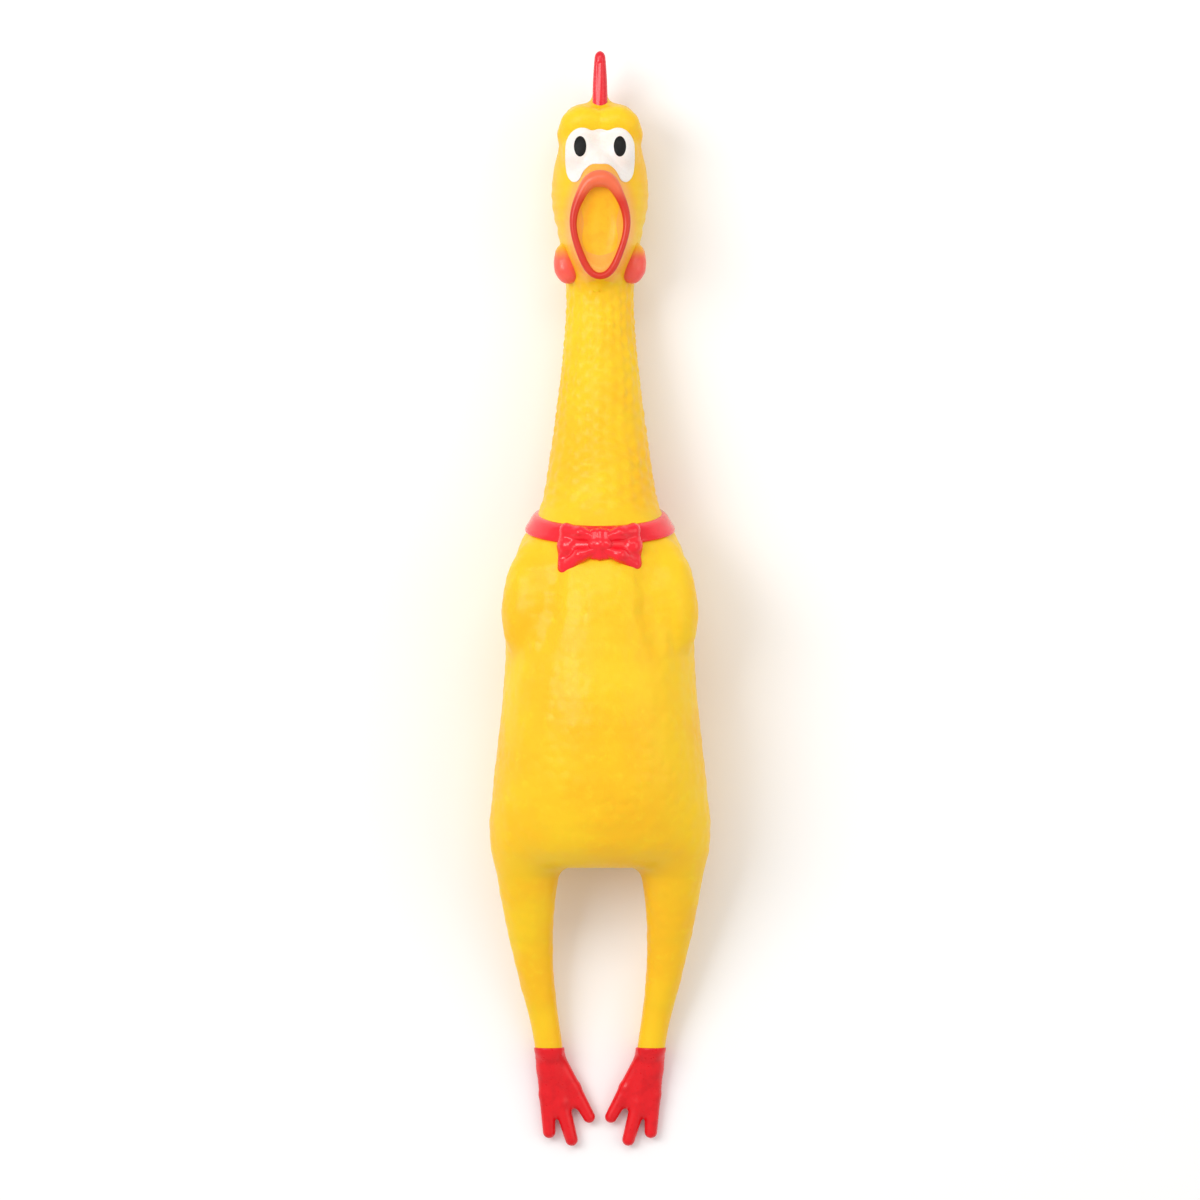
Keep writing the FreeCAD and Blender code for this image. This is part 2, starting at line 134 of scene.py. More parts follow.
def table_curves(rows, spread):
    """Smooth curves through a table's columns, sampled every half millimetre."""
    step = 0.5
    rows = np.array(rows, float)
    ys = np.arange(rows[0, 0] - 20, rows[-1, 0] + 20, step)
    reach = int(4 * spread / step)
    bell = np.exp(-0.5 * (np.arange(-reach, reach + 1) * step / spread) ** 2)
    bell /= bell.sum()
    columns = []
    for c in range(1, rows.shape[1]):
        straight = np.interp(ys, rows[:, 0], rows[:, c])
        columns.append(np.convolve(np.pad(straight, reach, mode="edge"), bell, mode="valid"))
    return ys, columns


PROFILE_Y, PROFILE_COLUMNS = table_curves(PROFILE, 2.2)


def profile(y):
    return [np.interp(y, PROFILE_Y, column) for column in PROFILE_COLUMNS]


def join(f, g, k):
    """The union of two fields, blended over k mm."""
    h = np.maximum(k - np.abs(f - g), 0) / k
    return np.minimum(f, g) - h * h * k / 4


def keep(f, g, k):
    """Where both fields are inside, with the edge rounded over k mm."""
    return -join(-f, -g, k)


def carve(f, g, k):
    return keep(f, -g, k)


def rod(x, y, z, a, b, ra, rb):
    """A round bar from a to b, ra thick at a and rb at b."""
    dx, dy, dz = b[0] - a[0], b[1] - a[1], b[2] - a[2]
    t = ((x - a[0]) * dx + (y - a[1]) * dy + (z - a[2]) * dz) / (dx * dx + dy * dy + dz * dz)
    t = np.clip(t, 0, 1)
    away = np.sqrt((x - a[0] - t * dx) ** 2 + (y - a[1] - t * dy) ** 2 + (z - a[2] - t * dz) ** 2)
    return away - (ra + (rb - ra) * t)


def bars(x, y, z, rows, k):
    """Round bars through a row of (x, y, z, radius)."""
    f = None
    for a, b in zip(rows, rows[1:]):
        g = rod(x, y, z, a, b, a[3], b[3])
        f = g if f is None else join(f, g, k)
    return f


def egg(x, y, z, centre, half):
    """An ellipsoid's field."""
    dx, dy, dz = x - centre[0], y - centre[1], z - centre[2]
    away = np.sqrt(dx * dx + dy * dy + dz * dz)
    ratio = np.sqrt((dx / half[0]) ** 2 + (dy / half[1]) ** 2 + (dz / half[2]) ** 2)
    return away * (1 - 1 / np.maximum(ratio, 1e-3))


def oval(x, y, centre, half):
    """An ellipse's field, endless along z."""
    dx, dy = x - centre[0], y - centre[1]
    away = np.sqrt(dx * dx + dy * dy)
    ratio = np.sqrt((dx / half[0]) ** 2 + (dy / half[1]) ** 2)
    return away * (1 - 1 / np.maximum(ratio, 1e-3))


def trunk(x, y, z):
    """Torso, neck and head as one loft of ellipses."""
    a, b, centre = profile(y)
    dz = z - centre
    away = np.sqrt(x * x + dz * dz)
    ratio = np.sqrt((x / a) ** 2 + (dz / b) ** 2)
    return away * (1 - 1 / np.maximum(ratio, 1e-3))


# The brow over one eye, from the middle outwards: x, y, z, radius
BROW = (
    (0.0, 173.6, 33.2, 4.0),
    (3.4, 173.8, 33.4, 4.1),
    (6.6, 174.0, 33.2, 4.5),
    (9.4, 172.4, 31.8, 4.3),
    (11.2, 168.8, 29.4, 3.6),
    (12.2, 164.0, 26.0, 2.6),
)
# Eggs: centre, half sizes
CROWN = ((6.4, 173.0, 21.0), (7.2, 7.4, 11.0))
CHEEK = ((9.4, 145.0, 24.0), (7.0, 11.5, 12.0))
BRIDGE = ((0, 150, 38), (0, 157.5, 38.5), 5.0, 3.6)
MOUND_MARGIN = (0.9, 2.0)  # how far the beak mound reaches past the lips' middle line, at its top
MOUND_SPREAD = 0.12  # how much wider it gets per mm of depth
MOUND_BACK_Z = 20.0
BOWL_MARGIN, BOWL_DEPTH, BOWL_RAISE = (1.2, 1.4), 5.6, 1.0  # the hollow behind the lips


def head_details(x, y, z, f):
    """Brows, eyeballs, beak mound and cheeks, on the head. x is the distance from the middle."""
    f = join(f, bars(x, y, z, BROW, 3.0), 2.4)
    f = join(f, egg(x, y, z, *CROWN), 4.0)
    f = join(f, egg(x, y, z, EYE, EYE_HALF), 2.0)
    mound = oval(x, y, MOUTH, (LIP_HALF[0] + MOUND_MARGIN[0], LIP_HALF[1] + MOUND_MARGIN[1]))
    slope = MOUND_SPREAD * np.maximum(LIP_Z - z, 0)
    mound = keep(mound - slope, z - LIP_Z + 0.4, 1.5)
    mound = keep(mound, MOUND_BACK_Z - z, 1.5)
    f = join(f, mound, 5.0)
    f = join(f, rod(x, y, z, *BRIDGE), 4.0)
    f = join(f, egg(x, y, z, *CHEEK), 4.0)
    bowl_half = (LIP_HALF[0] - BOWL_MARGIN[0], LIP_HALF[1] - BOWL_MARGIN[1], BOWL_DEPTH)
    bowl = egg(x, y, z, (MOUTH[0], MOUTH[1], LIP_Z + BOWL_RAISE), bowl_half)
    return carve(f, bowl, 0.8)


# The crease beside a folded wing, and the wing's own middle line: x, y, z, radius
WING_CREASE = (
    (17.2, 19.0, 54.4, 1.6),
    (18.0, 8.0, 57.2, 2.6),
    (19.2, -4.0, 58.8, 3.2),
    (21.6, -15.0, 58.8, 2.4),
)
WING_LOBE = (
    (22.6, 15.5, 40.6, 6.5),
    (23.6, 9.5, 42.0, 7.9),
    (24.4, 2.5, 42.8, 8.8),
    (25.2, -5.0, 42.6, 9.0),
    (25.9, -12.0, 41.8, 8.6),
)


def wing_details(x, y, z, f):
    """The folded wing, a puffy lobe with a crease on its inner side. x is the distance from the middle."""
    f = carve(f, bars(x, y, z, WING_CREASE, 4.0), 5.0)
    return join(f, bars(x, y, z, WING_LOBE, 5.0), 2.2)


LEG_Y, LEG_COLUMNS = table_curves(LEG, 3.0)


def leg(x, y, z):
    """A leg as one tapering tube. x is the distance from the middle."""
    centre_x, centre_z, radius = (np.interp(y, LEG_Y, column) for column in LEG_COLUMNS)
    tube = np.sqrt((x - centre_x) ** 2 + (z - centre_z) ** 2) - radius
    return keep(tube, y - LEG_TOP[0], LEG_TOP[1])


BASE_ROUND, LEG_JOIN = 10.0, 5.0  # how roundly the base ends and the legs run into the body
SKIN_UNDER_RED = 2.5  # how far the yellow goes on under the feet's red
HEAD_FROM_Y, WING_FROM_Y, WING_TO_Y = 112, -34, 32
RECESS_RADIUS, RECESS_DEPTH = 8.9, 3.0  # round the whistle


def skin(x, y, z):
    """The whole yellow skin, without its goosebumps."""
    side = np.sqrt(x * x + 0.01)
    f = keep(trunk(x, y, z), BASE_Y - y, BASE_ROUND)
    f = join(f, leg(side, y, z), LEG_JOIN)
    f = keep(f, RED_FROM_Y - SKIN_UNDER_RED - y, 0.6)
    f = np.where(y > HEAD_FROM_Y, head_details(side, y, z, f), f)
    f = np.where((y < WING_TO_Y) & (y > WING_FROM_Y), wing_details(side, y, z, f), f)
    recess = keep(np.sqrt(x * x + (z - WHISTLE_Z) ** 2) - RECESS_RADIUS, y - BASE_Y - RECESS_DEPTH, 0.3)
    f = carve(f, recess, 0.5)
    return keep(f, 0.05 - z, 1.2)


CELL_EDGE, CELL_JITTER = 0.2, 0.6  # how far a dome keeps from its cell's edge, and how freely it lies
DOME_REACH = 0.72  # in cells


def cell_bumps(x, y, z, size):
    """Low domes at the points of a jittered grid: 1 on a point, 0 away from it."""
    cx, cy, cz = np.floor(x / size), np.floor(y / size), np.floor(z / size)
    nearest = np.full(np.shape(x), 9.0)
    for i in (-1, 0, 1):
        for j in (-1, 0, 1):
            for k in (-1, 0, 1):
                gx, gy, gz = cx + i, cy + j, cz + k
                seed = np.sin(gx * 12.9898 + gy * 78.233 + gz * 37.719) * 43758.5453
                jx, jy, jz = seed % 1.0, (seed * 1.37) % 1.0, (seed * 2.11) % 1.0
                px = (gx + CELL_EDGE + CELL_JITTER * jx) * size
                py = (gy + CELL_EDGE + CELL_JITTER * jy) * size
                pz = (gz + CELL_EDGE + CELL_JITTER * jz) * size
                away = np.sqrt((x - px) ** 2 + (y - py) ** 2 + (z - pz) ** 2)
                nearest = np.minimum(nearest, away / size)
    t = np.clip(1 - nearest / DOME_REACH, 0, 1)
    return t * t * (3 - 2 * t)


def ramp(v, low, high):
    t = np.clip((v - low) / (high - low), 0, 1)
    return t * t * (3 - 2 * t)


NECK_KNOB, BODY_BUMP, JAW_RIDGE = 0.42, 0.26, 0.14  # heights
KNOB_PITCH, BUMP_PITCH, RIDGE_PITCH = 5.4, 5.2, 4.6
KNOBS_ROUND = 11  # rows of knobs round the neck


def bumps(x, y, z):
    """Height of the goosebumps, in mm: staggered knobs on the neck, finer ones on the body and legs."""
    centre = np.interp(y, PROFILE_Y, PROFILE_COLUMNS[2])
    angle = np.arctan2(x, z - centre)
    sway = 0.5 * np.sin(0.11 * y + 2.0 * angle) + 0.35 * np.sin(0.23 * y - 3.0 * angle + 1.0)
    drift = 0.5 * np.sin(0.31 * y + 5.0 * angle) + 0.5 * np.sin(0.19 * y - 4.0 * angle + 2.0)
    across = KNOBS_ROUND * angle + 0.8 * sway
    along = 2 * math.pi * (y + 1.0 * sway + 0.7 * drift) / KNOB_PITCH
    rows = (np.cos(2 * across) + 2 * np.cos(across) * np.cos(along)) / 3
    rows *= 0.8 + 0.3 * drift
    on_neck = ramp(y, 30, 35) * (1 - ramp(y, 108, 124))
    face = ramp(y, 112, 120) * ramp(z, 18, 26)
    fine = cell_bumps(x, y, z, BUMP_PITCH)
    on_body = (1 - ramp(y, 24, 33)) + ramp(y, 108, 118) * (1 - face)
    on_leg = 1 - ramp(-y, 140, 160)
    on_base = ramp(y, BASE_Y + 0.5, BASE_Y + 8) + ramp(-y, 99, 104)
    jaw = ramp(y, 116, 122) * (1 - ramp(y, 146, 156)) * ramp(np.abs(x), 10, 14)
    height = NECK_KNOB * rows * on_neck + BODY_BUMP * fine * on_body * on_leg * np.minimum(on_base, 1)
    height += JAW_RIDGE * np.cos(2 * math.pi * y / RIDGE_PITCH) * jaw * (1 - on_neck)
    return height * ramp(z, 0.3, 3.0)


def bumpy_skin(x, y, z):
    return skin(x, y, z) - bumps(x, y, z)


def slopes(field, points, h=0.05):
    """The field's value and its unit gradient at the points."""
    x, y, z = points.T
    here = field(x, y, z)
    g = np.stack([field(x + h, y, z) - here, field(x, y + h, z) - here, field(x, y, z + h) - here], 1)
    size = np.linalg.norm(g, axis=1, keepdims=True) / h
    return here, g / h / np.maximum(size, 1e-6), np.maximum(size[:, 0], 0.3)


def mesh_field(field, low, high, step, settle=None):
    """Points and faces of the surface where the field is 0, pulled onto settle, the exact field."""
    low, high = np.array(low, float), np.array(high, float)
    n = np.ceil((high - low) / step).astype(int) + 1
    xs, ys, zs = (low[i] + step * np.arange(n[i]) for i in range(3))
    values = np.empty(tuple(n), np.float32)
    slab = 48
    for start in range(0, n[1], slab):
        part = ys[start : start + slab]
        values[:, start : start + slab, :] = field(xs[:, None, None], part[None, :, None], zs[None, None, :])
    limit = 4 * step
    grid = openvdb.FloatGrid(limit)
    grid.copyFromArray(np.clip(values, -limit, limit))
    points, quads = grid.convertToQuads()
    points = low + points.astype(float) * step
    settle = settle or field
    for _ in range(3):
        value, normal, size = slopes(settle, points)
        move = np.clip(value / size, -0.8 * step, 0.8 * step)
        points -= normal * move[:, None]
    return points, quads


def outward(points, quads, field):
    """The faces, turned so that they look out of the field."""
    a, b, c = (points[quads[:, i]] for i in (0, 1, 2))
    made = np.cross(b - a, c - a)
    real = slopes(field, (a + c) / 2)[1]
    return quads[:, ::-1] if (made * real).sum() < 0 else quads


def mesh_object(name, points, faces, normals=None):
    mesh = bpy.data.meshes.new(name)
    mesh.from_pydata((np.asarray(points) * MM).tolist(), [], [list(map(int, f)) for f in faces])
    mesh.polygons.foreach_set("use_smooth", np.ones(len(mesh.polygons), bool))
    if normals is not None:
        mesh.normals_split_custom_set_from_vertices(np.asarray(normals).tolist())
    mesh.update()
    obj = bpy.data.objects.new(name, mesh)
    bpy.context.scene.collection.objects.link(obj)
    return obj


def field_object(name, field, low, high, step):
    points, quads = mesh_field(field, low, high, step)
    quads = outward(points, quads, field)
    return mesh_object(name, points, quads, slopes(field, points)[1])


def side_prefix(side):
    return "left_" if side > 0 else "right_"


def finish_piece(obj, material, body=None, hides=()):
    obj.data.materials.append(material)
    if body:
        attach(obj, body)
    if hides:
        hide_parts(*hides)
    return obj


# ---------------------------------------------------------------- materials


LIGHT_REACH, COAT_ROUGHNESS, SHINE = 0.004, 0.16, 0.25  # of all vinyls; the first in metres


class Nodes:
    """Short hand for a material's node tree."""

    def __init__(self, name, base, rough, soft=0.0, coat=0.0):
        self.material = bpy.data.materials.new(name)
        self.material.use_nodes = True
        self.tree = self.material.node_tree
        self.shader = self.tree.nodes["Principled BSDF"]
        self.set("Base Color", (*base, 1))
        self.set("Roughness", rough)
        self.set("Subsurface Weight", soft)
        self.set("Subsurface Scale", LIGHT_REACH)
        self.set("Coat Weight", coat)
        self.set("Coat Roughness", COAT_ROUGHNESS)
        self.set("Specular IOR Level", SHINE)
        self.place = self.add("ShaderNodeTexCoord").outputs["Object"]

    def add(self, kind, **fields):
        node = self.tree.nodes.new(kind)
        for key, value in fields.items():
            setattr(node, key, value)
        return node

    def set(self, socket, value):
        self.shader.inputs[socket].default_value = value

    def link(self, a, b):
        self.tree.links.new(a, b)

    def noise(self, per_mm, detail=3.0, rough=0.55):
        node = self.add("ShaderNodeTexNoise")
        node.inputs["Scale"].default_value = per_mm / MM
        node.inputs["Detail"].default_value = detail
        node.inputs["Roughness"].default_value = rough
        self.link(self.place, node.inputs["Vector"])
        return node.outputs[0]

    def span(self, value, low, high, to_low, to_high):
        node = self.add("ShaderNodeMapRange", interpolation_type="SMOOTHSTEP")
        self.link(value, node.inputs["Value"])
        for key, number in (("From Min", low), ("From Max", high), ("To Min", to_low), ("To Max", to_high)):
            node.inputs[key].default_value = number
        return node.outputs["Result"]

    def mix(self, factor, a, b):
        node = self.add("ShaderNodeMix", data_type="RGBA")
        self.link(factor, node.inputs["Factor"])
        for socket, value in ((node.inputs["A"], a), (node.inputs["B"], b)):
            if isinstance(value, tuple):
                socket.default_value = (*value, 1)
            else:
                self.link(value, socket)
        return node.outputs["Result"]

    def math(self, operation, a, b):
        node = self.add("ShaderNodeMath", operation=operation)
        for socket, value in zip(node.inputs, (a, b)):
            if isinstance(value, (int, float)):
                socket.default_value = value
            else:
                self.link(value, socket)
        return node.outputs[0]

    def oval_distance(self, centre, half):
        """1 on the ellipse in the plane z = 0, less inside it."""
        axes = self.add("ShaderNodeSeparateXYZ")
        self.link(self.place, axes.inputs[0])
        total = None
        for i in (0, 1):
            away = self.math("SUBTRACT", axes.outputs[i], centre[i] * MM)
            away = self.math("POWER", self.math("ABSOLUTE", away, 0.0), 2.0)
            away = self.math("DIVIDE", away, (half[i] * MM) ** 2)
            total = away if total is None else self.math("ADD", total, away)
        return self.math("POWER", total, 0.5)

    def relief(self, height, depth_mm, strength=1.0):
        node = self.add("ShaderNodeBump")
        node.inputs["Distance"].default_value = depth_mm * MM
        node.inputs["Strength"].default_value = strength
        self.link(height, node.inputs["Height"])
        self.link(node.outputs[0], self.shader.inputs["Normal"])

    def colour(self, socket):
        self.link(socket, self.shader.inputs["Base Color"])


YELLOW, YELLOW_WARM, YELLOW_LIGHT = (0.96, 0.60, 0.012), (0.95, 0.52, 0.010), (0.97, 0.68, 0.022)
RED, RED_DEEP, SALMON = (0.80, 0.006, 0.012), (0.72, 0.004, 0.010), (0.90, 0.16, 0.09)
WATTLE_PINK = (0.92, 0.11, 0.09)
PEACH = (0.97, 0.40, 0.08)
LIP_RED, LIP_ORANGE, BEAK_SALMON = (0.64, 0.028, 0.012), (0.68, 0.050, 0.018), (0.84, 0.16, 0.065)


def vinyl(name, head=False):
    n = Nodes(name, YELLOW, 0.4, soft=0.25, coat=0.06)
    tone = n.mix(n.span(n.noise(0.03, 2), 0.35, 0.65, 0, 1), YELLOW, YELLOW_WARM)
    tone = n.mix(n.span(n.noise(0.22, 4), 0.55, 0.8, 0, 0.5), tone, YELLOW_LIGHT)
    if head:
        around = n.oval_distance(MOUTH, (LIP_HALF[0] + 1.2, LIP_HALF[1] + 2.0))
        axes = n.add("ShaderNodeSeparateXYZ")
        n.link(n.place, axes.inputs[0])
        front = n.span(axes.outputs[2], 24 * MM, 36 * MM, 0, 1)
        tone = n.mix(n.math("MULTIPLY", n.span(around, 1.0, 1.35, 0.8, 0.0), front), tone, PEACH)
    n.colour(tone)
    n.link(n.span(n.noise(0.6, 3), 0.3, 0.7, 0.36, 0.48), n.shader.inputs["Roughness"])
    n.relief(n.noise(1.1, 4, 0.6), 0.06, 0.5)
    return n.material


def paint(name, base, second, rough, coat, soft=0.1, grain=0.3, relief=0.05):
    n = Nodes(name, base, rough, soft=soft, coat=coat)
    n.colour(n.mix(n.span(n.noise(grain, 3), 0.42, 0.68, 0, 1), base, second))
    n.link(n.span(n.noise(0.9, 2), 0.3, 0.7, rough * 0.8, rough * 1.25), n.shader.inputs["Roughness"])
    n.relief(n.noise(1.3, 3, 0.6), relief, 0.5)
    return n.material


def fading(name, first, second, last, full, gone):
    """Paint mottled of first and second, that turns into last along Y, from full to gone."""
    n = Nodes(name, first, 0.34, soft=0.2, coat=0.3)
    axes = n.add("ShaderNodeSeparateXYZ")
    n.link(n.place, axes.inputs[0])
    rough_edge = n.math("ADD", axes.outputs[1], n.math("MULTIPLY", n.noise(0.5, 4), 1.6 * MM))
    thin = n.span(rough_edge, full * MM, gone * MM, 0, 1)
    mottled = n.mix(n.span(n.noise(0.15, 3), 0.4, 0.7, 0, 0.6), first, second)
    n.colour(n.mix(thin, mottled, last))
    n.relief(n.noise(1.2, 3, 0.6), 0.05, 0.5)
    return n.material


yellow_skin = vinyl("yellow vinyl")
yellow_head = vinyl("yellow vinyl, sprayed at the beak", head=True)
glossy_red = paint("glossy red", (0.92, 0.009, 0.024), (0.86, 0.007, 0.018), 0.2, 0.6, relief=0.04)
foot_red = paint("foot red", RED, RED_DEEP, 0.34, 0.25)
lip_red = fading("lip red", LIP_RED, LIP_ORANGE, BEAK_SALMON, 144.0, 151.0)
mouth_orange = paint("mouth orange", (0.97, 0.50, 0.010), (0.96, 0.45, 0.008), 0.42, 0.1)
eye_white = paint("eye white", (0.91, 0.84, 0.79), (0.93, 0.80, 0.74), 0.3, 0.4, grain=0.1)
eye_black = paint("eye black", (0.005, 0.005, 0.005), (0.008, 0.007, 0.006), 0.5, 0.0, soft=0.0)
wattle_red = fading("wattle red", WATTLE_PINK, SALMON, YELLOW_WARM, 124.0, 130.5)
comb_red = paint("comb red", (0.74, 0.012, 0.026), (0.80, 0.016, 0.030), 0.26, 0.45, grain=0.15)


# ---------------------------------------------------------------- the skin


def cut_skin():
    """The skin's points, normals and faces, cut along every seam."""
    points, quads = mesh_field(skin, (-44, -168, -2), (44, 184, 68), FINE, bumpy_skin)
    quads = outward(points, quads, skin)
    work = bmesh.new()
    mesh = bpy.data.meshes.new("skin_work")
    mesh.from_pydata(points.tolist(), [], quads.tolist())
    work.from_mesh(mesh)
    planes = [(NECK_FOOT + NECK_LINE * s, NECK_LINE) for s in NECK_SEAMS]
    planes += [(np.array((0.0, y, 0.0)), np.array((0.0, 1.0, 0.0))) for y in LEG_SEAMS]
    for point, normal in planes:
        everything = work.verts[:] + work.edges[:] + work.faces[:]
        place, facing = point.tolist(), normal.tolist()
        bmesh.ops.bisect_plane(work, geom=everything, dist=1e-4, plane_co=place, plane_no=facing)
    work.verts.index_update()
    points = np.array([v.co[:] for v in work.verts])
    faces = [[v.index for v in f.verts] for f in work.faces]
    centres = np.array([f.calc_center_median()[:] for f in work.faces])
    work.free()
    bpy.data.meshes.remove(mesh)
    return points, slopes(bumpy_skin, points)[1], faces, centres


def skin_piece(name, chosen, material, hides, body=None, bend=None):
    """One piece of the cut skin, that rides a body if one is given."""
    faces = [SKIN_FACES[i] for i in np.nonzero(chosen)[0]]
    used = np.unique(np.concatenate([np.array(f) for f in faces]))
    place = np.full(len(SKIN_POINTS), -1)
    place[used] = np.arange(len(used))
    faces = [place[f].tolist() for f in faces]
    obj = mesh_object(name, SKIN_POINTS[used], faces, SKIN_NORMALS[used])
    finish_piece(obj, material, body, hides)
    if bend:
        parent, child, start, end = bend
        tuple(np.array(start) * MM)
        tuple(np.array(end) * MM)
        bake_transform(obj)
    return obj


HIP_SEAM, KNEE_SEAM, ANKLE_SEAM = -100.0, -123.5, -148.0
LEG_SEAMS = (HIP_SEAM, KNEE_SEAM, ANKLE_SEAM)
LEG_END = -170.0
SKIN_POINTS, SKIN_NORMALS, SKIN_FACES, SKIN_CENTRES = cut_skin()
along_neck = (SKIN_CENTRES - NECK_FOOT) @ NECK_LINE
down = SKIN_CENTRES[:, 1]

skin_piece(
    "torso_skin",
    (along_neck < NECK_SEAMS[0]) & (down > HIP_SEAM),
    yellow_skin,
    ("torso_shell", "belly_wall", "left_wing", "right_wing"),
    bend=("torso", "belly", (0, -42, 48), (0, -42, 70)),
)
NECK_BODIES = ("torso", "neck_root", "neck_lower", "neck_middle", "neck_upper", "head")
for k in range(5):
    start, end = NECK_SEAMS[k], NECK_SEAMS[k + 1]
    shell = NECK_BODIES[k + 1] + "_shell"
    skin_piece(
        f"neck_skin_{k + 1}",
        (along_neck >= start) & (along_neck < end),
        yellow_skin,
        (shell,) if shell != "head_shell" else (),
        bend=(NECK_BODIES[k], NECK_BODIES[k + 1], NECK_FOOT + NECK_LINE * start, NECK_FOOT + NECK_LINE * end),
    )
skin_piece("head_skin", along_neck >= NECK_SEAMS[5], yellow_head, ("head_shell",), body="head")
# Each leg joint's skin: piece, parent, child, top, bottom, start and end of the bend, hidden shells
LEG_BENDS = (
    ("hip_skin", "torso", "thigh", HIP_SEAM, KNEE_SEAM, HIP_SEAM, -118.0, ("thigh_shell",)),
    ("knee_skin", "thigh", "shank", KNEE_SEAM, ANKLE_SEAM, KNEE_SEAM, -139.0, ("shank_shell",)),
    ("ankle_skin", "shank", "foot", ANKLE_SEAM, LEG_END, -157.0, -165.0, ()),
)
for side in (1, -1):
    own = SKIN_CENTRES[:, 0] * side > 0
    prefix = side_prefix(side)
    for name, parent, child, top, bottom, bend_start, bend_end, shells in LEG_BENDS:
        parent = parent if parent == "torso" else prefix + parent
        skin_piece(
            prefix + name,
            own & (down < top) & (down >= bottom),
            yellow_skin,
            tuple(prefix + shell for shell in shells),
            bend=(parent, prefix + child, (0, bend_start, 15), (0, bend_end, 15)),
        )


# ---------------------------------------------------------------- face


def head_only(x, y, z):
    side = np.sqrt(x * x + 0.01)
    return head_details(side, y, z, trunk(x, y, z))


# The white's outline is made of ovals: centre, half sizes
WHITE_EYE, WHITE_TAIL = ((6.5, 163.6), (6.1, 7.5)), ((9.1, 157.0), (3.3, 5.8))
WHITE_MIDDLE, WHITE_NOTCH = ((0, 163.8), (5.0, 6.9)), ((0, 151.6), (6.4, 5.8))
WHITE_THICK, PUPIL_THICK = 0.3, 0.55  # how far the paint stands off the skin
WHITE_BACK_Z, PUPIL_BACK_Z = 24, 28


def white_area(x, y):
    side = np.sqrt(x * x + 0.01)
    area = oval(side, y, *WHITE_EYE)
    area = join(area, oval(side, y, *WHITE_TAIL), 3.0)
    area = join(area, oval(x, y, *WHITE_MIDDLE), 2.0)
    return carve(area, oval(x, y, *WHITE_NOTCH), 1.6)


def eye_field(x, y, z):
    patch = keep(head_only(x, y, z) - WHITE_THICK, white_area(x, y), 0.5)
    patch = keep(patch, -head_only(x, y, z) - 0.9, 0.2)
    return keep(patch, WHITE_BACK_Z - z, 0.3)


def pupil_field(side):
    def field(x, y, z):
        spot = oval(x, y, (PUPIL[0] * side, PUPIL[1]), PUPIL_HALF)
        patch = keep(head_only(x, y, z) - PUPIL_THICK, spot, 0.5)
        return keep(keep(patch, -head_only(x, y, z) - 0.2, 0.2), PUPIL_BACK_Z - z, 0.2)

    return field


def own_half(field, side):
    return lambda x, y, z: np.maximum(field(x, y, z), -x * side - 0.4)


for side in (1, -1):
    name = side_prefix(side)
    low_x = 0.0 if side > 0 else -17.0
    white = field_object(
        name + "eye_paint", own_half(eye_field, side), (low_x - 0.6, 148, 22), (low_x + 17.6, 174, 44), 0.35
    )
    finish_piece(white, eye_white, "head", (name + "eye",))
    dot = field_object(
        name + "pupil_paint",
        pupil_field(side),
        (side * PUPIL[0] - 3.2, 160, 28),
        (side * PUPIL[0] + 3.2, 168, 43),
        0.2,
    )
    finish_piece(dot, eye_black, "head", (name + "pupil",))


def swept_ring(name, centres, outs, ups, radii, sides=20):
    """A closed tube: at each station a circle in the plane of out and up, of that radius."""
    turn = np.linspace(0, 2 * math.pi, sides, endpoint=False)
    points = []
    for centre, out, up, radius in zip(centres, outs, ups, radii):
        for t in turn:
            points.append(centre + (out * math.cos(t) + up * math.sin(t)) * radius)
    faces = []
    count = len(centres)
    for i in range(count):
        for j in range(sides):
            k = (j + 1) % sides
            m = (i + 1) % count
            faces.append((i * sides + j, m * sides + j, m * sides + k, i * sides + k))
    return mesh_object(name, points, faces)


def mouth_outline(t, scale=1.0):
    """A point of the mouth's outline, an egg with flattened corners. t runs round it from the top."""
    x = LIP_HALF[0] * math.sin(t) * (1 - LIP_PINCH * math.sin(2 * t) ** 2)
    y = (LIP_HALF[1] - LIP_DROP * math.cos(t)) * math.cos(t)
    return MOUTH[0] + x * scale, MOUTH[1] + y * scale


LIP_RADIUS, BEAK_SWELL, BEAK_RAISE, LIP_WAVE = 1.3, 1.8, 0.6, 0.06
DISH_DEPTH, TONGUE_HEIGHT, TONGUE_WIDTH = 4.2, 0.5, 3.2


def lips():
    """The rim of the mouth: thin at the sides and below, thick above, where it is the upper beak."""
    count = 144
    centres, outs, radii = [], [], []
    for i in range(count):
        t = 2 * math.pi * i / count
        top = (1 + math.cos(t)) / 2
        centres.append(np.array((*mouth_outline(t), LIP_Z + BEAK_RAISE * top**3)))
        (ax, ay), (bx, by) = mouth_outline(t - 0.05), mouth_outline(t + 0.05)
        out = np.array((ay - by, bx - ax, 0))
        outs.append(out / np.linalg.norm(out))
        radii.append(LIP_RADIUS + BEAK_SWELL * top**5 + LIP_WAVE * math.sin(5 * t + 1))
    up = [np.array((0, 0, 1.0))] * count
    return swept_ring("lips", centres, outs, up, radii)


finish_piece(lips(), lip_red, "head", ("beak_rim",))


